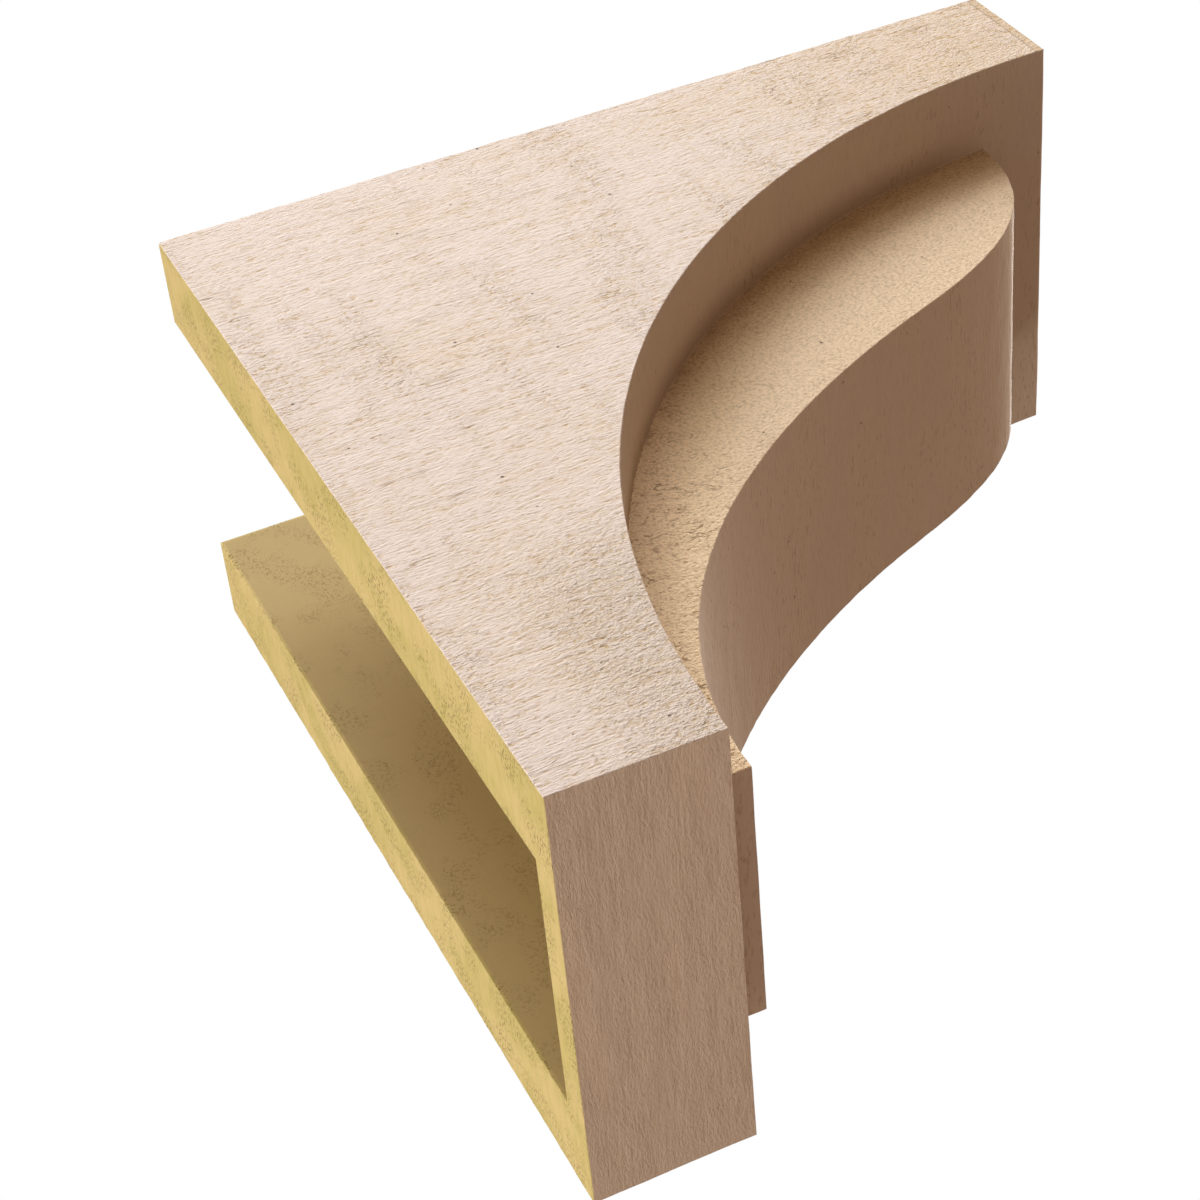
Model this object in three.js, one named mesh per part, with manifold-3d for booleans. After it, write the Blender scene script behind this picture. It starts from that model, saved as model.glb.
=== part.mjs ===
// Faux-wood urethane corbel, moulded in one piece. Two thick cheeks, scooped out in front,
// end in a straight nose at the top and a straight foot at the bottom. Between them an ogee
// tongue stands proud of the scoop. Behind the scoop the corbel is hollow, and the hollow
// opens at the wall and at the top.
// Millimetres, +Z up. The wall is the plane Y = 0 and the front faces -Y. The origin is the
// centre of the bottom rim's back face.
import * as THREE from 'three';
import { mergeVertices } from 'three/addons/utils/BufferGeometryUtils.js';
import Module from 'manifold-3d';

// Overall sizes
const width = 152.4;
const height = 304.8;
const projection = 304.8;

// Cheeks: their thickness, the height of the straight nose and the depth of the straight foot
const cheek = 30.48;
const noseHeight = 45.72;
const footDepth = 50.8;

// Tongue: how far its nose stays behind the front, how far its foot stands proud of the
// cheeks' foot, and how high its flat end stays above the underside
const tongueSetback = 24.8;
const tongueFootStep = 12.7;
const tongueEndRise = 15.24;

// Even wall round the hollow: the bottom rim, the back of the scoop and the back of the nose
const wall = 11.6;

// Fullness of the scoop's curve: how far each handle of its Bezier curve reaches from its end
// to the corner where the two end tangents meet. An ellipse has 0.55.
const scoopFullness = 0.57;

// Free form of the tongue's ogee, as shares of its own reach and drop: where the curve turns
// from the belly to the throat, how steeply it runs there, and how far its handles reach
const bendReach = 0.686;
const bendDrop = 0.319;
const bendSlope = THREE.MathUtils.degToRad(21.6);
const bellyFullness = 0.5;
const bendFullness = 0.72;
const throatFullness = 0.39;

const curveSteps = 44;
const cutPast = 5;

// Places that follow from the sizes, as depth from the wall and height above the origin
const underside = -wall / 2;
const top = underside + height;
const noseUnderside = top - noseHeight;
const tongueWidth = width - 2 * cheek;
const tongueNose = projection - tongueSetback;
const tongueFoot = footDepth + tongueFootStep;
const tongueEnd = underside + tongueEndRise;

// A side outline, x as depth from the wall and y as height, drawn out across the corbel
function slab(outline, across) {
  const geometry = new THREE.ExtrudeGeometry(outline, {
    depth: across,
    bevelEnabled: false,
    curveSegments: curveSteps,
  });
  geometry.translate(0, 0, -across / 2);
  const outFromWall = new THREE.Vector3(0, -1, 0);
  const up = new THREE.Vector3(0, 0, 1);
  const sideways = new THREE.Vector3().crossVectors(outFromWall, up);
  return geometry.applyMatrix4(new THREE.Matrix4().makeBasis(outFromWall, up, sideways));
}

// The scoop, from the foot up and out to the nose
function scoopCurve() {
  const reach = projection - footDepth;
  const rise = noseUnderside - underside;
  return new THREE.CubicBezierCurve(
    new THREE.Vector2(footDepth, underside),
    new THREE.Vector2(footDepth, underside + scoopFullness * rise),
    new THREE.Vector2(projection - scoopFullness * reach, noseUnderside),
    new THREE.Vector2(projection, noseUnderside),
  );
}

// The tongue's front, from its foot up and out to its nose: a throat and a belly that meet in
// a bend
function ogeeCurves() {
  const reach = tongueNose - tongueFoot;
  const drop = noseUnderside - tongueEnd;
  const foot = new THREE.Vector2(tongueFoot, tongueEnd);
  const bend = new THREE.Vector2(tongueFoot + bendReach * reach, noseUnderside - bendDrop * drop);
  const nose = new THREE.Vector2(tongueNose, noseUnderside);
  const alongBend = new THREE.Vector2(Math.cos(bendSlope), Math.sin(bendSlope));
  const throatHandle = bendFullness * (bend.x - foot.x);
  const bellyHandle = bendFullness * (nose.x - bend.x);
  const throat = new THREE.CubicBezierCurve(
    foot,
    new THREE.Vector2(foot.x, foot.y + throatFullness * (bend.y - foot.y)),
    bend.clone().addScaledVector(alongBend, -throatHandle),
    bend,
  );
  const belly = new THREE.CubicBezierCurve(
    bend,
    bend.clone().addScaledVector(alongBend, bellyHandle),
    new THREE.Vector2(nose.x, nose.y - bellyFullness * (nose.y - bend.y)),
    nose,
  );
  return [throat, belly];
}

// Side view of a cheek: the wall, the straight foot, the scoop and the straight nose
function cheekOutline() {
  return new THREE.Shape([
    new THREE.Vector2(0, underside),
    ...scoopCurve().getPoints(curveSteps),
    new THREE.Vector2(projection, top),
    new THREE.Vector2(0, top),
  ]);
}

// Side view of the tongue, which is rooted in the slab that the cheeks are cut from
function tongueOutline() {
  const [throat, belly] = ogeeCurves();
  return new THREE.Shape([
    new THREE.Vector2(footDepth / 2, tongueEnd),
    ...throat.getPoints(curveSteps),
    ...belly.getPoints(curveSteps).slice(1),
    new THREE.Vector2(tongueNose, noseUnderside + wall / 2),
    new THREE.Vector2(footDepth / 2, noseUnderside + wall / 2),
  ]);
}

// Side view of the hollow: it keeps the wall behind the scoop, behind the nose and above the
// underside, and runs out past the back and the top
function hollowOutline() {
  const scoop = scoopCurve();
  const noseBack = projection - wall;
  const noseFloor = noseUnderside + wall;
  const footBack = footDepth - wall;
  const rimTop = underside + wall;
  const scoopBack = [];
  for (let step = 0; step <= curveSteps; step += 1) {
    const tangent = scoop.getTangent(step / curveSteps);
    const inwards = new THREE.Vector2(-tangent.y, tangent.x);
    const point = scoop.getPoint(step / curveSteps).addScaledVector(inwards, wall);
    if (point.y > rimTop && point.x < noseBack) {
      scoopBack.push(point);
    }
  }
  return new THREE.Shape([
    new THREE.Vector2(-cutPast, rimTop),
    new THREE.Vector2(footBack, rimTop),
    ...scoopBack,
    new THREE.Vector2(noseBack, noseFloor),
    new THREE.Vector2(noseBack, top + cutPast),
    new THREE.Vector2(-cutPast, top + cutPast),
  ]);
}

const wasm = await Module();
wasm.setup();

function solidFrom(geometry) {
  geometry.deleteAttribute('normal');
  geometry.deleteAttribute('uv');
  const merged = mergeVertices(geometry);
  return new wasm.Manifold(new wasm.Mesh({
    numProp: 3,
    vertProperties: merged.attributes.position.array,
    triVerts: new Uint32Array(merged.index.array),
  }));
}

function geometryFrom(solid) {
  const { vertProperties, triVerts } = solid.getMesh();
  const geometry = new THREE.BufferGeometry();
  geometry.setAttribute('position', new THREE.BufferAttribute(vertProperties, 3));
  geometry.setIndex(new THREE.BufferAttribute(triVerts, 1));
  geometry.computeVertexNormals();
  return geometry;
}

function makeCorbel() {
  const cheeks = solidFrom(slab(cheekOutline(), width));
  const tongue = solidFrom(slab(tongueOutline(), tongueWidth));
  const hollow = solidFrom(slab(hollowOutline(), tongueWidth));
  const fauxWood = new THREE.MeshStandardMaterial({
    color: '#d9c4ad',
    roughness: 0.85,
    metalness: 0,
  });
  const corbel = new THREE.Mesh(geometryFrom(cheeks.add(tongue).subtract(hollow)), fauxWood);
  corbel.name = 'corbel';
  return corbel;
}

const part = new THREE.Group();
part.add(makeCorbel());

export default part;
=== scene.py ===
"""A faux-wood corbel: scooped cheeks with an ogee tongue between them, moulded in urethane foam.

The outer skin has the grain of rough-sawn timber and a primed tan colour. The back, the hollow and
the top show the bare yellow foam. Metres, +Z up, the wall at Y = 0, and the front faces -Y.
"""

import math
from typing import NamedTuple

import bpy
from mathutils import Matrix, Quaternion, Vector


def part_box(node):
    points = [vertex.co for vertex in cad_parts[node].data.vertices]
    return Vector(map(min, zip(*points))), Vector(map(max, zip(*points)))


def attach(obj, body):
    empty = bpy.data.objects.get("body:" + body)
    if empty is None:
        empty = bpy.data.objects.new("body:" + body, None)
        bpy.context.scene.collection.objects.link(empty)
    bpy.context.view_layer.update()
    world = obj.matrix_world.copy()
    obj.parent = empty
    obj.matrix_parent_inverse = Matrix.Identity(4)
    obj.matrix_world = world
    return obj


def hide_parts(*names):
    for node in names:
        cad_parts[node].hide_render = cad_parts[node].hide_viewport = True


bl_info = {
    "name": "Faux-Wood Corbel",
    "version": (1, 0, 0),
    "blender": (4, 5, 0),
    "location": "3D View > Sidebar > Corbel",
    "description": "Models a moulded corbel with its sawn skin and bare foam, and sets its studio",
    "category": "Object",
}

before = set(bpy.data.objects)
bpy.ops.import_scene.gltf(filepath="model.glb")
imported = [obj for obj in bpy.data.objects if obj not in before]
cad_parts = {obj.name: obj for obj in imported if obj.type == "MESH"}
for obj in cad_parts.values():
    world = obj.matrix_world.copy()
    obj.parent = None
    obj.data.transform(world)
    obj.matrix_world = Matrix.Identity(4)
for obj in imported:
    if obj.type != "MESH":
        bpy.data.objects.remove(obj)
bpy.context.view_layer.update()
LOW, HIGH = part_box("corbel")
MM = 0.001


# Sizes and colours that a user would change


def length(label, description, default):
    """A size in metres."""
    return bpy.props.FloatProperty(
        name=label, description=description, default=default, unit="LENGTH", precision=4
    )


def share(label, description, default):
    """A plain number without a unit."""
    return bpy.props.FloatProperty(name=label, description=description, default=default)


def angle(label, description, default):
    """An angle, given here in degrees."""
    return bpy.props.FloatProperty(
        name=label, description=description, default=math.radians(default), unit="ROTATION"
    )


def colour(label, description, default):
    """A linear colour."""
    return bpy.props.FloatVectorProperty(
        name=label, description=description, default=default, subtype="COLOR", size=3, min=0, max=1
    )


def place(label, description, default):
    """A point or a direction in metres."""
    return bpy.props.FloatVectorProperty(
        name=label, description=description, default=default, subtype="TRANSLATION", size=3
    )


class CorbelShape(bpy.types.PropertyGroup):
    """Sizes of the moulding. Depths run out from the wall and heights up from the origin."""

    width: length("Width", "Across both cheeks", HIGH.x - LOW.x)
    projection: length("Projection", "From the wall to the nose", HIGH.y - LOW.y)
    underside: length("Underside", "Height of the foot's underside", LOW.z)
    top: length("Top", "Height of the top face", HIGH.z)
    cheek: length("Cheek", "Thickness of a cheek", 30.48 * MM)
    nose_height: length("Nose height", "Straight nose above the scoop", 45.72 * MM)
    foot_depth: length("Foot depth", "Straight foot below the scoop", 50.8 * MM)
    tongue_setback: length("Tongue setback", "Tongue's nose behind the front", 24.8 * MM)
    tongue_step: length("Tongue step", "Tongue's foot in front of the cheeks' foot", 12.7 * MM)
    tongue_rise: length("Tongue rise", "Tongue's flat end above the underside", 15.24 * MM)
    wall: length("Wall", "Foam left round the hollow", 11.6 * MM)
    scoop_fullness: share("Scoop fullness", "Reach of the scoop's handles", 0.57)
    bend_reach: share("Bend reach", "Where belly turns to throat, along the reach", 0.686)
    bend_drop: share("Bend drop", "Where belly turns to throat, down the drop", 0.319)
    bend_slope: angle("Bend slope", "Slope of the tongue at its bend", 21.6)
    belly_fullness: share("Belly fullness", "Reach of the nose's handle", 0.5)
    bend_fullness: share("Bend fullness", "Reach of the bend's handles", 0.72)
    throat_fullness: share("Throat fullness", "Reach of the foot's handle", 0.39)
    edge_break: length("Edge break", "Width that the mould takes off the edges", 0.2 * MM)
    relief: length("Sawn relief", "Depth of the coarse unevenness of the sawn skin", 0.3 * MM)


class CorbelColours(bpy.types.PropertyGroup):
    """Colours of the skin and of the bare foam."""

    cheek: colour("Cheeks", "Primed tan of the cheeks' sides", (0.780, 0.680, 0.610))
    tongue: colour("Tongue", "Yellower tan of the tongue's sides", (0.800, 0.630, 0.430))
    ends: colour("Foot and fronts", "Tan of the foot and the fronts", (0.760, 0.610, 0.470))
    warm: colour("Warm skin", "Yellower skin, in patches and near the nose", (0.735, 0.590, 0.425))
    # Along the tongue's root this ochre is partly painted shade fading from the corner. Elsewhere
    # it stains the grain.
    ochre: colour("Ochre", "Ochre along the tongue's root", (0.590, 0.420, 0.205))
    recess: colour("Recess", "Brown that stays in the grain's recesses", (0.360, 0.235, 0.125))
    # Painted sheen: the paler colour of the band on the tongue's nose.
    nose_sheen: colour("Worn skin", "Paler skin at the tongue's nose", (0.830, 0.730, 0.640))
    pore: colour("Pore", "Open pores in the skin", (0.120, 0.075, 0.045))
    foam: colour("Foam", "Bare urethane foam", (0.545, 0.420, 0.178))
    foam_green: colour("Greener foam", "Greener patches of the foam", (0.420, 0.345, 0.105))
    # Painted shade: the darker, browner foam of the hollow's walls.
    foam_in_painted_shade: colour("Foam inside", "Browner foam of the hollow", (0.418, 0.312, 0.142))
    foam_speck: colour("Foam speck", "Dark cells of the foam", (0.160, 0.115, 0.035))


class CorbelStage(bpy.types.PropertyGroup):
    """Camera, floor and light."""

    lens: share("Lens", "Focal length in millimetres", 83.71)
    camera_place: place("Camera", "Where the camera stands", (-0.53207, 0.16674, -0.48125))
    camera_aim: place("Aim", "Point in the middle of the picture", (0.01269, -0.08593, 0.16196))
    camera_roll: angle("Roll", "Turn of the camera about its own axis", -38.25)
    floor_drop: length("Floor drop", "Floor below the origin", 2.6)
    floor_size: length("Floor size", "Side of the floor", 10.0)
    floor_colour: colour("Floor", "Pale floor", (0.84, 0.87, 0.89))
    ambient: colour("Ambient", "Light that comes from all round", (0.30, 0.21, 0.16))
    overhead: share("Overhead", "Strength of the soft light from above", 1.5)
    overhead_spread: angle("Overhead spread", "How wide the light from above is", 40)


# Side outlines


class Knot(NamedTuple):
    """A point of a side outline with the handles before and after it, as depth and height."""

    point: Vector
    before: Vector
    after: Vector


def corner(depth, height):
    """A knot where straight lines meet."""
    at = Vector((depth, height))
    return Knot(at, at, at)


def scoop_knots(shape, inwards):
    """The scoop's two ends, or those of the same curve set inwards behind it by a wall."""
    foot = Vector((shape.foot_depth - inwards, shape.underside))
    nose = Vector((shape.projection, shape.top - shape.nose_height + inwards))
    rise = shape.scoop_fullness * (nose.y - foot.y)
    reach = shape.scoop_fullness * (nose.x - foot.x)
    return [
        Knot(foot, foot, foot + Vector((0, rise))),
        Knot(nose, nose - Vector((reach, 0)), nose),
    ]


def cheek_outline(shape):
    """The wall, the straight foot, the scoop and the straight nose."""
    return [
        corner(0, shape.underside),
        *scoop_knots(shape, 0),
        corner(shape.projection, shape.top),
        corner(0, shape.top),
    ]


def tongue_outline(shape):
    """An ogee from the foot to the nose, rooted in the slab behind it."""
    foot = Vector((shape.foot_depth + shape.tongue_step, shape.underside + shape.tongue_rise))
    nose = Vector((shape.projection - shape.tongue_setback, shape.top - shape.nose_height))
    across = shape.bend_reach * (nose.x - foot.x)
    down = shape.bend_drop * (nose.y - foot.y)
    bend = Vector((foot.x + across, nose.y - down))
    slope = Vector((math.cos(shape.bend_slope), math.sin(shape.bend_slope)))
    foot_handle = Vector((0, shape.throat_fullness * (bend.y - foot.y)))
    nose_handle = Vector((0, shape.belly_fullness * (nose.y - bend.y)))
    throat_handle = shape.bend_fullness * (bend.x - foot.x) * slope
    belly_handle = shape.bend_fullness * (nose.x - bend.x) * slope
    root_depth = shape.foot_depth / 2
    root_top = nose.y + shape.wall / 2
    return [
        corner(root_depth, foot.y),
        Knot(foot, foot, foot + foot_handle),
        Knot(bend, bend - throat_handle, bend + belly_handle),
        Knot(nose, nose - nose_handle, nose),
        corner(nose.x, root_top),
        corner(root_depth, root_top),
    ]


def hollow_outline(shape):
    """The hollow behind the scoop, running out past the wall and the top."""
    return [
        corner(-CUT_PAST, shape.underside),
        *scoop_knots(shape, shape.wall),
        corner(shape.projection, shape.top + CUT_PAST),
        corner(-CUT_PAST, shape.top + CUT_PAST),
    ]


# Modelling

CURVE_STEPS = 96
CUT_PAST = 5 * MM
DOUBLES = 0.01 * MM
STRAIGHT = math.radians(0.05)
SMOOTH_BELOW = math.radians(28)
REMESH_DEPTH = 8
REMESH_SCALE = 0.58
ALONG_RELIEF = (12 * MM, 14 * MM, 5 * MM)
ACROSS_RELIEF = (16 * MM, 6 * MM, 6 * MM)


def deselect_all():
    """Nothing stays selected, the frame's nodes included."""
    bpy.ops.object.select_all(action="DESELECT")


def only(piece):
    """The piece alone is selected and active."""
    deselect_all()
    piece.select_set(True)
    bpy.context.view_layer.objects.active = piece


def slab(name, knots, across):
    """Draws a side outline as a closed curve, fills it and extrudes it to its width across X."""
    deselect_all()
    bpy.ops.curve.primitive_bezier_curve_add()
    piece = bpy.context.object
    piece.name = name
    piece.data.dimensions = "3D"
    piece.data.resolution_u = CURVE_STEPS
    spline = piece.data.splines[0]
    spline.use_cyclic_u = True
    spline.bezier_points.add(len(knots) - len(spline.bezier_points))
    for point, knot in zip(spline.bezier_points, knots):
        point.handle_left_type = point.handle_right_type = "FREE"
        point.co, point.handle_left, point.handle_right = (
            Vector((-across / 2, -at.x, at.y)) for at in knot
        )
    bpy.ops.object.convert(target="MESH")
    piece = bpy.context.object
    bpy.ops.object.mode_set(mode="EDIT")
    bpy.ops.mesh.select_all(action="SELECT")
    bpy.ops.mesh.remove_doubles(threshold=DOUBLES)
    bpy.ops.mesh.dissolve_limited(angle_limit=STRAIGHT)
    bpy.ops.mesh.edge_face_add()
    bpy.ops.mesh.extrude_region_move(TRANSFORM_OT_translate={"value": (across, 0, 0)})
    bpy.ops.mesh.select_all(action="SELECT")
    bpy.ops.mesh.normals_make_consistent(inside=False)
    bpy.ops.object.mode_set(mode="OBJECT")
    return piece


def cut_flat(piece, at, outwards):
    """Cuts away what lies beyond a plane and closes the cut."""
    only(piece)
    bpy.ops.object.mode_set(mode="EDIT")
    bpy.ops.mesh.select_all(action="SELECT")
    bpy.ops.mesh.bisect(plane_co=at, plane_no=outwards, use_fill=True, clear_outer=True)
    bpy.ops.object.mode_set(mode="OBJECT")


def add_modifier(piece, kind, settings):
    """Adds a modifier and applies it."""
    only(piece)
    bpy.ops.object.modifier_add(type=kind)
    modifier = piece.modifiers[-1]
    for setting, value in settings.items():
        setattr(modifier, setting, value)
    bpy.ops.object.modifier_apply(modifier=modifier.name)


def remove(piece):
    """Deletes a helper."""
    only(piece)
    bpy.ops.object.delete()


def combine(piece, tool, operation):
    """Joins or cuts the piece with a tool, which is used up."""
    add_modifier(piece, "BOOLEAN", {"object": tool, "operation": operation, "solver": "EXACT"})
    remove(tool)


def moulding_body(shape):
    """The cheeks and the tongue as one, with the hollow taken out."""
    between = shape.width - 2 * shape.cheek
    body = slab("corbel_moulding", cheek_outline(shape), shape.width)
    tongue = slab("tongue", tongue_outline(shape), between)
    hollow = slab("hollow", hollow_outline(shape), between)
    cut_flat(hollow, (0, 0, shape.underside + shape.wall), (0, 0, -1))
    cut_flat(hollow, (0, shape.wall - shape.projection, 0), (0, -1, 0))
    combine(body, tongue, "UNION")
    combine(body, hollow, "DIFFERENCE")
    return body


def mesh_finely(piece):
    """Meshes the body evenly, fine enough for the relief, and keeps its edges sharp."""
    add_modifier(
        piece,
        "REMESH",
        {
            "mode": "SHARP",
            "octree_depth": REMESH_DEPTH,
            "scale": REMESH_SCALE,
            "use_remove_disconnected": False,
        },
    )


# Which finish a face gets

CHEEK, TONGUE, FOOT, FRONT, FOAM = range(5)
SIDEWAYS = 0.5
FLAT_BAND = 1 * MM


def finish_of(face, shape):
    """The finish of a face, from where it lies and which way it looks."""
    outwards = face.normal.x * face.center.x > 0
    if abs(face.normal.x) > SIDEWAYS:
        if not outwards:
            return FOAM
        on_cheek = abs(face.center.x) > shape.width / 2 - FLAT_BAND
        return CHEEK if on_cheek else TONGUE
    if face.normal.y + face.normal.z > 0:
        return FOAM
    on_foot = face.center.z < shape.underside + FLAT_BAND
    return FOOT if on_foot else FRONT


def assign_finishes(piece, shape, materials):
    """Puts the materials in their slots and gives each face its own."""
    for material in materials:
        piece.data.materials.append(material)
    for face in piece.data.polygons:
        face.material_index = finish_of(face, shape)


def group_faces(piece, name, finishes):
    """A vertex group of the faces that have one of these finishes."""
    only(piece)
    for face in piece.data.polygons:
        face.select = face.material_index in finishes
    bpy.ops.object.mode_set(mode="EDIT")
    group = piece.vertex_groups.new(name=name)
    piece.vertex_groups.active_index = group.index
    bpy.ops.object.vertex_group_assign()
    bpy.ops.object.mode_set(mode="OBJECT")


def press_relief(piece, group, grain, strength):
    """Presses the unevenness of sawn timber into a group of faces, drawn out along the grain."""
    deselect_all()
    bpy.ops.object.empty_add(location=(0, 0, 0))
    guide = bpy.context.object
    guide.scale = grain
    bpy.context.view_layer.update()
    texture = bpy.data.textures.new(group, "CLOUDS")
    texture.noise_scale = 1
    texture.noise_depth = 1
    add_modifier(
        piece,
        "DISPLACE",
        {
            "texture": texture,
            "texture_coords": "OBJECT",
            "texture_coords_object": guide,
            "vertex_group": group,
            "strength": strength,
        },
    )
    remove(guide)
    piece.vertex_groups.remove(piece.vertex_groups[group])
    bpy.data.textures.remove(texture)


def finish_surface(piece, shape):
    """Presses the relief into the skin, breaks the edges and smooths the shading."""
    group_faces(piece, "along_depth", {CHEEK, TONGUE})
    press_relief(piece, "along_depth", ALONG_RELIEF, shape.relief)
    group_faces(piece, "across_width", {FOOT, FRONT})
    press_relief(piece, "across_width", ACROSS_RELIEF, shape.relief)
    add_modifier(
        piece,
        "BEVEL",
        {
            "width": shape.edge_break,
            "segments": 1,
            "limit_method": "ANGLE",
            "angle_limit": SMOOTH_BELOW,
            "use_clamp_overlap": False,
        },
    )
    bpy.ops.object.shade_smooth_by_angle(angle=SMOOTH_BELOW)


# Shader maths


class Amount:
    """A number that varies over a surface. Sums and products of amounts add their Math nodes."""

    def __init__(self, finish, socket):
        self.finish = finish
        self.socket = socket

    def maths(self, operation, *terms):
        """The result of a Math node."""
        inputs = dict(enumerate(terms))
        node = self.finish.node("ShaderNodeMath", {"operation": operation}, inputs)
        return Amount(self.finish, node.outputs[0])

    def __add__(self, other):
        return self.maths("ADD", self, other)

    def __radd__(self, other):
        return self.maths("ADD", other, self)

    def __sub__(self, other):
        return self.maths("SUBTRACT", self, other)

    def __rsub__(self, other):
        return self.maths("SUBTRACT", other, self)

    def __mul__(self, other):
        return self.maths("MULTIPLY", self, other)

    def __rmul__(self, other):
        return self.maths("MULTIPLY", other, self)

    def __abs__(self):
        return self.maths("ABSOLUTE", self)

    def between(self, low, high):
        """0 up to low, 1 from high on, and smooth between them."""
        settings = {"interpolation_type": "SMOOTHSTEP", "clamp": True}
        inputs = {0: self, 1: low, 2: high, 3: 0.0, 4: 1.0}
        node = self.finish.node("ShaderNodeMapRange", settings, inputs)
        return Amount(self.finish, node.outputs[0])


MIX_FACTOR, MIX_FIRST, MIX_SECOND, MIX_COLOUR = 0, 6, 7, 2
PORE_EDGE = 0.15 * MM


def opaque(paint):
    """A colour with its alpha. One that comes from a node has it already."""
    return paint if isinstance(paint, bpy.types.NodeSocket) else (*paint, 1.0)


class Nodes:
    """The nodes of a material or of the backdrop, from an empty tree on."""

    def __init__(self, owner):
        owner.use_nodes = True
        self.tree = owner.node_tree
        self.tree.nodes.clear()

    def node(self, kind, settings, inputs):
        """Adds a node. Its settings come first, then the values or links of its sockets."""
        made = self.tree.nodes.new(kind)
        for name, value in settings.items():
            setattr(made, name, value)
        for key, value in inputs.items():
            if isinstance(value, Amount):
                value = value.socket
            if isinstance(value, bpy.types.NodeSocket):
                self.tree.links.new(value, made.inputs[key])
            else:
                made.inputs[key].default_value = value
        return made


class Finish(Nodes):
    """A material with one Principled shader, and the patterns that can be drawn on it."""

    def __init__(self, name, roughness, specular):
        self.material = bpy.data.materials.new(name)
        super().__init__(self.material)
        gloss = {"Roughness": roughness, "Specular IOR Level": specular}
        self.shader = self.node("ShaderNodeBsdfPrincipled", {}, gloss)
        self.node("ShaderNodeOutputMaterial", {}, {"Surface": self.shader.outputs["BSDF"]})
        self.at = self.node("ShaderNodeTexCoord", {}, {}).outputs["Object"]

    def vectors(self, operation, inputs):
        """The results of a Vector Math node."""
        return self.node("ShaderNodeVectorMath", {"operation": operation}, inputs).outputs

    def measured(self, lengths, offset=(0, 0, 0)):
        """Where a point lies, counted in these lengths along X, Y and Z."""
        counted = self.vectors("DIVIDE", {0: self.at, 1: lengths})[0]
        return self.vectors("ADD", {0: counted, 1: offset})[0]

    def along(self, axis):
        """How far a point lies along X, Y or Z."""
        return Amount(self, self.node("ShaderNodeSeparateXYZ", {}, {0: self.at}).outputs[axis])

    def depth(self):
        """How far a point stands out from the wall."""
        return 0 - self.along("Y")

    def height(self):
        """How far a point lies above the origin."""
        return self.along("Z")

    def before_scoop(self, shape):
        """How far a point lies in front of the scoop, which is nearly a quarter of an ellipse."""
        reach = shape.projection - shape.foot_depth
        rise = shape.top - shape.nose_height - shape.underside
        shares = (0, 1 / reach, 1 / rise)
        middle = (0, shape.projection / reach, -shape.underside / rise)
        from_middle = self.vectors("MULTIPLY_ADD", {0: self.at, 1: shares, 2: middle})[0]
        radius = self.vectors("LENGTH", {0: from_middle})["Value"]
        return (1 - Amount(self, radius)) * reach

    def cloud(self, lengths, detail=2.0, roughness=0.5, offset=(0, 0, 0)):
        """Noise about 0.5 whose features are as long as these lengths."""
        inputs = {
            "Vector": self.measured(lengths, offset),
            "Scale": 1.0,
            "Detail": detail,
            "Roughness": roughness,
        }
        node = self.node("ShaderNodeTexNoise", {"noise_dimensions": "3D"}, inputs)
        return Amount(self, node.outputs[0])

    def pores(self, spacing, radius):
        """Round pores, one in each cell of this spacing, cut where the surface passes them."""
        inputs = {"Vector": self.measured((spacing, spacing, spacing)), "Scale": 1.0}
        node = self.node("ShaderNodeTexVoronoi", {"feature": "F1"}, inputs)
        near = Amount(self, node.outputs["Distance"])
        return 1 - near.between((radius - PORE_EDGE) / spacing, (radius + PORE_EDGE) / spacing)

    def blend(self, first, second, amount):
        """The first colour turned into the second by an amount."""
        inputs = {MIX_FACTOR: amount, MIX_FIRST: opaque(first), MIX_SECOND: opaque(second)}
        settings = {"data_type": "RGBA", "blend_type": "MIX"}
        return self.node("ShaderNodeMix", settings, inputs).outputs[MIX_COLOUR]

    def shaded(self, paint, amount):
        """A colour multiplied by an amount."""
        return self.vectors("SCALE", {0: paint, "Scale": amount})[0]

    def coat(self, weight, roughness):
        """A clear coat, as thick as the weight and as rough as given."""
        self.tree.links.new(weight.socket, self.shader.inputs["Coat Weight"])
        self.shader.inputs["Coat Roughness"].default_value = roughness

    def complete(self, base_colour, height):
        """Links the colour and the relief, which is a height in metres."""
        relief = {"Height": height, "Distance": 1.0, "Strength": 1.0}
        bump = self.node("ShaderNodeBump", {}, relief)
        self.tree.links.new(base_colour, self.shader.inputs["Base Color"])
        self.tree.links.new(bump.outputs["Normal"], self.shader.inputs["Normal"])
        return self.material


# Patterns of the sawn skin

LIP_SETBACK = 3.0 * MM
CLOUD_MIDDLE = 0.5
BREAK_SPACING = 2.2


def seam(cloud, thinness):
    """A thin curved line, where a cloud passes its middle value."""
    return 1 - abs(cloud - CLOUD_MIDDLE).between(0.0, thinness)


def creases(finish, lengths, thinness, offset=(0, 0, 0)):
    """Thin curved creases, broken off here and there."""
    line = seam(finish.cloud(lengths, roughness=0.55, offset=offset), thinness)
    spacing = tuple(BREAK_SPACING * size for size in lengths)
    broken = finish.cloud(spacing, detail=1.0, offset=(7, 3, 5))
    return line * broken.between(0.50, 0.62)


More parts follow.
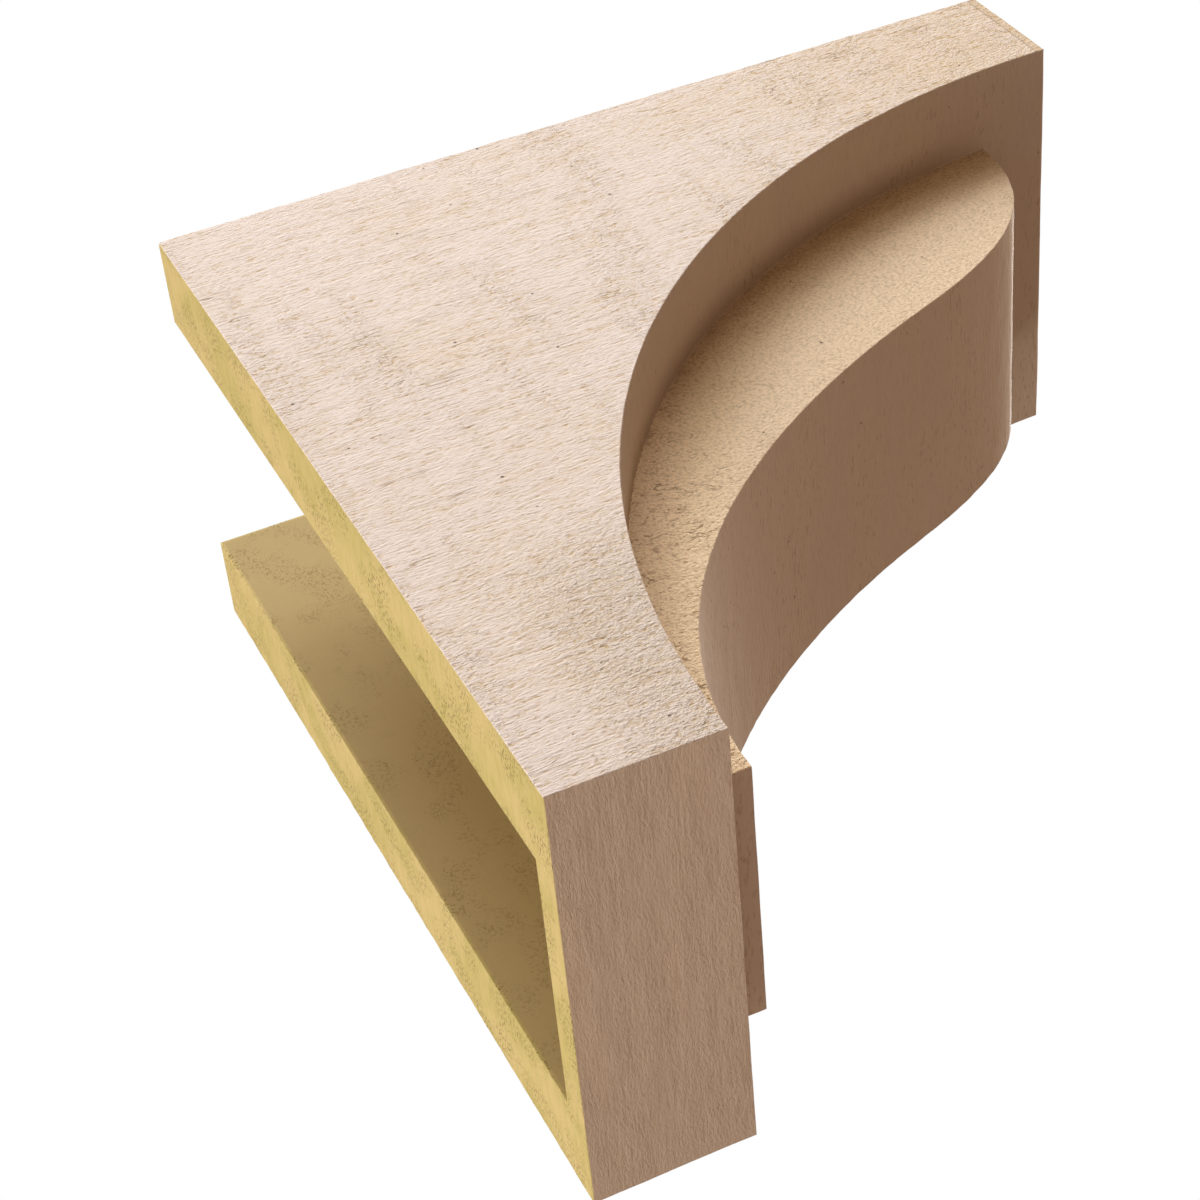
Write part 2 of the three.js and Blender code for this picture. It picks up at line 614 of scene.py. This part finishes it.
def cheek_finish(colours, shape):
    """The cheeks' sides: short fibres along the depth, crumbly where a saw would chatter."""
    finish = Finish("sawn_cheek", roughness=0.8, specular=0.25)
    fibres = finish.cloud((1.0 * MM, 3.0 * MM, 0.8 * MM), detail=3.0, roughness=0.65)
    rows = finish.cloud((3 * MM, 14 * MM, 1.5 * MM), detail=3.0, roughness=0.62, offset=(4, 2, 8))
    crumbs = finish.cloud((1.4 * MM, 1.7 * MM, 1.1 * MM), detail=3.0, roughness=0.65)
    chatter = finish.cloud((200 * MM, 15 * MM, 100 * MM), detail=3.0, offset=(0, 1.3, 0))
    near_nose = finish.depth().between(140 * MM, 290 * MM)
    low_down = 1 - finish.height().between(55 * MM, 110 * MM)
    near_foot = finish.depth().between(12 * MM, 42 * MM) * low_down
    rough = 1 - (1 - chatter.between(0.44, 0.66)) * (1 - 0.7 * near_nose) * (1 - 0.9 * near_foot)
    crease = creases(finish, (5 * MM, 6.5 * MM, 3.4 * MM), thinness=0.03) * rough
    splits = finish.cloud((6 * MM, 46 * MM, 3.6 * MM), detail=1.0, offset=(2, 9, 4))
    split_here = finish.cloud((30 * MM, 26 * MM, 9 * MM), detail=1.0).between(0.58, 0.66)
    split = seam(splits, thinness=0.012) * split_here
    pore = finish.pores(spacing=12 * MM, radius=0.45 * MM)
    lip_depth = shape.projection - LIP_SETBACK
    lip = 1 - abs(finish.depth() - lip_depth).between(0.1 * MM, 0.6 * MM)
    past_lip = finish.depth().between(lip_depth, lip_depth + 0.4 * MM)
    tone = finish.cloud((60 * MM, 45 * MM, 30 * MM), offset=(1, 5, 2)).between(0.40, 0.72)
    low_fibre = 1 - fibres.between(0.36, 0.46)
    low_row = 1 - rows.between(0.38, 0.47)
    low_crumb = (1 - crumbs.between(0.34, 0.45)) * (0.20 + 0.80 * rough)
    stain = (
        (0.45 + 0.40 * near_nose) * low_fibre
        + 0.25 * low_row
        + 0.65 * low_crumb
        + 0.35 * past_lip
    )
    wash = (
        0.40 * low_fibre * low_row
        + 0.30 * low_crumb
        + 0.45 * crease
        + 0.60 * split
        + 0.45 * lip
    )
    warmth = 0.20 * tone + 0.50 * near_nose + 0.25 * near_foot
    ground = finish.blend(colours.cheek, colours.warm, warmth)
    stained = finish.blend(ground, colours.ochre, stain)
    washed = finish.blend(stained, colours.recess, wash.between(0.0, 1.0))
    pored = finish.blend(washed, colours.pore, pore * 0.75)
    height = (
        fibres * (0.70 * MM)
        + rows * (0.40 * MM)
        + crumbs * (0.90 * MM) * (0.25 + 0.65 * rough + 0.85 * near_foot)
        - crease * (0.20 * MM)
        - split * (0.15 * MM)
        - lip * (0.20 * MM)
        - pore * (0.40 * MM)
    )
    return finish.complete(pored, height)


def tongue_finish(colours, shape):
    """The tongue's sides: a close speckled grain, crumbly at the foot. Painted shade darkens the
    root's corner and fades out through an ochre band along the root, and painted light lifts the
    colour near the foot.
    """
    finish = Finish("sawn_tongue", roughness=0.8, specular=0.25)
    grain = finish.cloud((0.9 * MM, 1.2 * MM, 0.9 * MM), detail=3.0, roughness=0.65)
    mottle = finish.cloud((14 * MM, 16 * MM, 9 * MM), detail=3.0, roughness=0.6)
    out = finish.before_scoop(shape)
    # Ochre along the root: partly the skin's own colour, partly painted shade fading out from the
    # corner.
    root_ochre_and_shade = 1 - out.between(6 * MM, 34 * MM)
    # Painted shade: the corner beside the scoop is darkened where the cheek shades the tongue.
    painted_corner_shade = 1 - out.between(0.0, 11 * MM)
    near_foot = 1 - finish.depth().between(85 * MM, 140 * MM)
    creased = creases(finish, (4 * MM, 7 * MM, 4 * MM), thinness=0.045, offset=(5, 1, 6))
    crease = creased * (0.2 + 0.8 * near_foot)
    crumb_size = (1.8 * MM, 2.8 * MM, 1.6 * MM)
    crumbs = finish.cloud(crumb_size, detail=3.0, roughness=0.65, offset=(1, 6, 2))
    pore = finish.pores(spacing=12 * MM, radius=0.45 * MM)
    low_grain = 1 - grain.between(0.36, 0.50)
    low_crumb = (1 - crumbs.between(0.35, 0.46)) * near_foot
    ochre = root_ochre_and_shade * (0.62 - 0.40 * near_foot) + 0.15 * low_grain * (0.5 + mottle)
    stain = 0.16 * mottle.between(0.54, 0.66) + 0.14 * low_grain + 0.50 * low_crumb
    wash = stain + 0.70 * crease + 0.35 * painted_corner_shade * (1 - near_foot)
    ground = finish.blend(colours.tongue, colours.ochre, ochre)
    washed = finish.blend(ground, colours.recess, wash.between(0.0, 1.0))
    pored = finish.blend(washed, colours.pore, pore * 0.75)
    # Painted light: near the foot the colour is made lighter, lifting the shade that falls there.
    grain_and_foot_light = finish.shaded(pored, 0.57 + 0.86 * grain + 0.36 * near_foot)
    height = (
        grain * (0.75 * MM) * (1 + 0.5 * near_foot)
        + crumbs * (1.1 * MM) * near_foot
        - crease * (0.3 * MM)
        - pore * (0.4 * MM)
    )
    return finish.complete(grain_and_foot_light, height)


def foot_finish(colours):
    """The foot's underside: short fine ridges across the width, in faintly warmer bands."""
    finish = Finish("sawn_foot", roughness=0.8, specular=0.25)
    ridges = finish.cloud((1.9 * MM, 0.75 * MM, 0.75 * MM), detail=4.0, roughness=0.72)
    rows = finish.cloud((11 * MM, 1.5 * MM, 1.5 * MM), detail=3.0, roughness=0.6, offset=(4, 2, 8))
    bands = finish.cloud((60 * MM, 9 * MM, 9 * MM), offset=(2, 2, 7))
    patches = finish.cloud((44 * MM, 9 * MM, 9 * MM), offset=(3, 8, 1))
    pore = finish.pores(spacing=17 * MM, radius=0.4 * MM)
    rough = 1.1 - 0.4 * patches.between(0.42, 0.66)
    low_ridge = 1 - ridges.between(0.36, 0.48)
    low_row = 1 - rows.between(0.38, 0.48)
    stain = (0.16 * low_ridge + 0.12 * low_row) * rough
    ground = finish.blend(colours.ends, colours.warm, bands.between(0.35, 0.65) * 0.5)
    washed = finish.blend(ground, colours.recess, stain)
    pored = finish.blend(washed, colours.pore, pore * 0.6)
    mottled = finish.shaded(pored, 0.97 + 0.14 * bands)
    height = (ridges * (0.36 * MM) + rows * (0.22 * MM)) * rough - pore * (0.3 * MM)
    return finish.complete(mottled, height)


def front_finish(colours, shape):
    """The scoop, the tongue's front and the nose: smooth, faintly streaked across the width.

    The scoop is made darker by painted shade, most in the corner beside the tongue. The tongue's
    nose has a clear coat and a paler band of painted sheen, and its flat end is a little paler.
    """
    finish = Finish("sawn_front", roughness=0.8, specular=0.12)
    streaks = finish.cloud((9 * MM, 1.4 * MM, 1.4 * MM), detail=3.0, roughness=0.55)
    grain = finish.cloud((3 * MM, 1.0 * MM, 1.0 * MM), roughness=0.6)
    patches = finish.cloud((50 * MM, 22 * MM, 22 * MM), offset=(6, 1, 3))
    scratches = finish.cloud((3.6 * MM, 1.1 * MM, 1.1 * MM), offset=(8, 2, 2))
    scratch = scratches.between(0.58, 0.70) * (0.35 + 0.65 * patches.between(0.42, 0.58))
    front = shape.projection
    tongue_nose = front - shape.tongue_setback
    beside = abs(finish.along("X")) - (shape.width / 2 - shape.cheek)
    on_cheek = beside.between(-0.4 * MM, 0.4 * MM)
    behind_front = 1 - finish.depth().between(front - 1 * MM, front - 0.4 * MM)
    # Painted shade: the scoop, which faces down, is made darker.
    painted_scoop_shade = (1 - abs(finish.before_scoop(shape)).between(4 * MM, 9 * MM)) * behind_front
    behind_nose = 1 - finish.depth().between(tongue_nose - 30 * MM, tongue_nose)
    # Painted shade in the scoop's corner beside the tongue.
    painted_corner_shade = (1 - beside.between(0.0, 12 * MM)) * on_cheek * painted_scoop_shade * behind_nose
    past_nose = finish.depth().between(tongue_nose + 1 * MM, tongue_nose + 2 * MM)
    on_tongue = (1 - on_cheek) * (1 - past_nose)
    ragged = finish.depth() + streaks * (6 * MM)
    # Painted sheen: a paler band on the tongue's nose, under a clear coat, stands in for the light
    # it catches at a glancing angle.
    nose_sheen = ragged.between(tongue_nose - 13 * MM, tongue_nose - 9 * MM) * on_tongue
    hatched = finish.depth().between(tongue_nose - 45 * MM, tongue_nose - 20 * MM) * on_tongue
    tongue_end = shape.underside + shape.tongue_rise
    above_end = finish.height().between(tongue_end + 0.3 * MM, tongue_end + 0.8 * MM)
    at_end = (1 - on_cheek) * (1 - above_end)
    finish.coat(nose_sheen * 0.9, roughness=0.62)
    pore = finish.pores(spacing=13 * MM, radius=0.4 * MM)
    stain = hatched * (0.08 + 0.35 * streaks.between(0.45, 0.6))
    wash = scratch * (0.30 + 0.35 * hatched) + painted_corner_shade * 0.45
    ground = finish.blend(colours.ends, colours.warm, patches.between(0.3, 0.7) * 0.4)
    # The tongue's flat end is blended a little toward the cheeks' paler colour.
    paler_end = finish.blend(ground, colours.cheek, 0.35 * at_end)
    stained = finish.blend(paler_end, colours.ochre, stain)
    washed = finish.blend(stained, colours.recess, wash)
    pored = finish.blend(washed, colours.pore, pore * 0.6)
    # The pale colour of the nose's band is a painted highlight.
    sheen_painted_colour = finish.blend(pored, colours.nose_sheen, 0.3 * nose_sheen)
    # The scoop's term here is painted shade. The streaks and patches are the skin's own mottling.
    mottled = finish.shaded(sheen_painted_colour, 0.91 + 0.10 * streaks + 0.08 * patches - 0.16 * painted_scoop_shade)
    height = (
        streaks * (0.12 * MM)
        + grain * (0.16 * MM)
        - scratch * (0.1 * MM)
        - pore * (0.3 * MM)
    )
    return finish.complete(mottled, height)


def foam_finish(colours, shape):
    """Bare foam: smooth yellow with clusters of dark cells, and browner and darker inside the
    hollow, which is painted shade.
    """
    finish = Finish("bare_foam", roughness=0.7, specular=0.12)
    cells = finish.cloud((1.5 * MM, 0.8 * MM, 0.8 * MM), roughness=0.6)
    cluster = finish.cloud((16 * MM, 14 * MM, 20 * MM), roughness=0.6, offset=(3, 3, 3))
    streaks = finish.cloud((9 * MM, 2.5 * MM, 2.5 * MM))
    patches = finish.cloud((30 * MM, 30 * MM, 45 * MM), offset=(9, 9, 1))
    green = 0.4 * patches.between(0.42, 0.58) + 0.35 * streaks.between(0.42, 0.62)
    below_top = 1 - finish.height().between(shape.top - 1.5 * MM, shape.top - 0.5 * MM)
    # Painted shade: the hollow's walls get a browner, darker foam.
    inside = finish.depth().between(0.5 * MM, 1.5 * MM) * below_top
    speck = cells.between(0.52, 0.62) * cluster.between(0.40, 0.62) * (1 - 0.4 * inside)
    outside = finish.blend(colours.foam, colours.foam_green, green)
    ground = finish.blend(outside, colours.foam_in_painted_shade, 0.9 * inside)
    specked = finish.blend(ground, colours.foam_speck, speck * 0.75)
    height = cells * (0.10 * MM) - speck * (0.1 * MM)
    return finish.complete(specked, height)


class CORBEL_OT_model_moulding(bpy.types.Operator):
    """Models the moulding and gives it its sawn skin and its bare foam"""

    bl_idname = "corbel.model_moulding"
    bl_label = "Model Moulding"

    def execute(self, context):
        shape = context.scene.corbel_shape
        colours = context.scene.corbel_colours
        moulding = moulding_body(shape)
        mesh_finely(moulding)
        finishes = [
            cheek_finish(colours, shape),
            tongue_finish(colours, shape),
            foot_finish(colours),
            front_finish(colours, shape),
            foam_finish(colours, shape),
        ]
        assign_finishes(moulding, shape, finishes)
        finish_surface(moulding, shape)
        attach(moulding, "root")
        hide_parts("corbel")
        return {"FINISHED"}


# Stage


class Lamp(NamedTuple):
    """A soft box: the direction that it stands in, its distance, side, power and colour."""

    name: str
    stands: tuple
    away: float
    side: float
    watts: float
    tint: tuple


LAMPS = [
    Lamp("key", (-0.7, 0.0, 0.7), 3.0, 1.6, 72, (0.93, 0.97, 1.0)),
    Lamp("key_front", (-0.8, -0.3, 0.5), 2.2, 0.8, 11, (0.93, 0.97, 1.0)),
    Lamp("wall_low", (0.3, 1.0, -0.2), 2.2, 1.8, 39, (1.0, 1.0, 0.98)),
    Lamp("wall_side", (-0.4, 1.0, 0.0), 2.2, 1.2, 18, (0.96, 0.98, 1.0)),
    Lamp("front", (0.3, -1.0, 0.6), 2.2, 1.2, 14, (1.0, 0.94, 0.86)),
    Lamp("right", (0.7, -0.5, 0.6), 2.2, 1.2, 34, (1.0, 0.97, 0.93)),
]

WHITE = (1.0, 1.0, 1.0)
CLIP_START = 10 * MM


def look_at(thing, at):
    """Turns a camera or lamp to a point, upright."""
    direction = Vector(at) - thing.location
    thing.rotation_mode = "QUATERNION"
    thing.rotation_quaternion = direction.to_track_quat("-Z", "Y")


def add_camera(stage):
    """The camera at the photograph's viewing angle."""
    deselect_all()
    bpy.ops.object.camera_add(location=stage.camera_place)
    camera = bpy.context.object
    look_at(camera, stage.camera_aim)
    camera.rotation_quaternion @= Quaternion((0, 0, 1), stage.camera_roll)
    camera.data.lens = stage.lens
    camera.data.clip_start = CLIP_START
    bpy.context.scene.camera = camera


def add_floor(stage):
    """A plain pale floor, far below. It throws no light back up on the corbel."""
    deselect_all()
    bpy.ops.mesh.primitive_plane_add(size=stage.floor_size, location=(0, 0, -stage.floor_drop))
    floor = bpy.context.object
    floor.name = "floor"
    floor.visible_diffuse = False
    floor.visible_glossy = False
    finish = Finish("floor_paint", roughness=0.9, specular=0.2)
    finish.shader.inputs["Base Color"].default_value = opaque(stage.floor_colour)
    floor.data.materials.append(finish.material)


def add_lamp(lamp):
    """One soft box that looks at the middle of the corbel."""
    middle = (LOW + HIGH) / 2
    away = lamp.away * Vector(lamp.stands).normalized()
    deselect_all()
    bpy.ops.object.light_add(type="AREA", location=middle + away)
    light = bpy.context.object
    light.name = lamp.name
    light.data.shape = "SQUARE"
    light.data.size = lamp.side
    light.data.energy = lamp.watts
    light.data.color = lamp.tint
    look_at(light, middle)


def add_overhead(stage):
    """Soft light straight from above, the same all over the floor."""
    deselect_all()
    bpy.ops.object.light_add(type="SUN", location=(0, 0, stage.floor_drop))
    light = bpy.context.object
    light.name = "overhead"
    light.data.energy = stage.overhead
    light.data.angle = stage.overhead_spread


def add_backdrop(stage):
    """A white backdrop that lights the corbel only dimly."""
    world = bpy.data.worlds.new("backdrop")
    backdrop = Nodes(world)
    lighting = backdrop.node("ShaderNodeBackground", {}, {"Color": opaque(stage.ambient)})
    seen = backdrop.node("ShaderNodeBackground", {}, {"Color": opaque(WHITE)})
    in_view = backdrop.node("ShaderNodeLightPath", {}, {}).outputs["Is Camera Ray"]
    choice = {0: in_view, 1: lighting.outputs[0], 2: seen.outputs[0]}
    chosen = backdrop.node("ShaderNodeMixShader", {}, choice).outputs[0]
    backdrop.node("ShaderNodeOutputWorld", {}, {"Surface": chosen})
    bpy.context.scene.world = world


class CORBEL_OT_set_stage(bpy.types.Operator):
    """Sets up the camera, the pale floor and the soft studio light"""

    bl_idname = "corbel.set_stage"
    bl_label = "Set Stage"

    def execute(self, context):
        stage = context.scene.corbel_stage
        add_camera(stage)
        add_floor(stage)
        add_backdrop(stage)
        add_overhead(stage)
        for lamp in LAMPS:
            add_lamp(lamp)
        context.scene.view_settings.view_transform = "Standard"
        return {"FINISHED"}


class CORBEL_PT_workshop(bpy.types.Panel):
    """Lists the steps and the sizes and colours behind them"""

    bl_idname = "CORBEL_PT_workshop"
    bl_label = "Faux-Wood Corbel"
    bl_space_type = "VIEW_3D"
    bl_region_type = "UI"
    bl_category = "Corbel"

    def draw(self, context):
        layout = self.layout
        layout.operator(CORBEL_OT_model_moulding.bl_idname)
        layout.operator(CORBEL_OT_set_stage.bl_idname)
        scene = context.scene
        for group in (scene.corbel_shape, scene.corbel_colours, scene.corbel_stage):
            box = layout.box()
            for setting in group.__annotations__:
                box.prop(group, setting)


CLASSES = (
    CorbelShape,
    CorbelColours,
    CorbelStage,
    CORBEL_OT_model_moulding,
    CORBEL_OT_set_stage,
    CORBEL_PT_workshop,
)


def register():
    for each in CLASSES:
        bpy.utils.register_class(each)
    bpy.types.Scene.corbel_shape = bpy.props.PointerProperty(type=CorbelShape)
    bpy.types.Scene.corbel_colours = bpy.props.PointerProperty(type=CorbelColours)
    bpy.types.Scene.corbel_stage = bpy.props.PointerProperty(type=CorbelStage)


def unregister():
    del bpy.types.Scene.corbel_stage
    del bpy.types.Scene.corbel_colours
    del bpy.types.Scene.corbel_shape
    for each in reversed(CLASSES):
        bpy.utils.unregister_class(each)


def main():
    register()
    bpy.ops.corbel.model_moulding()
    bpy.ops.corbel.set_stage()


if __name__ == "__main__":
    main()
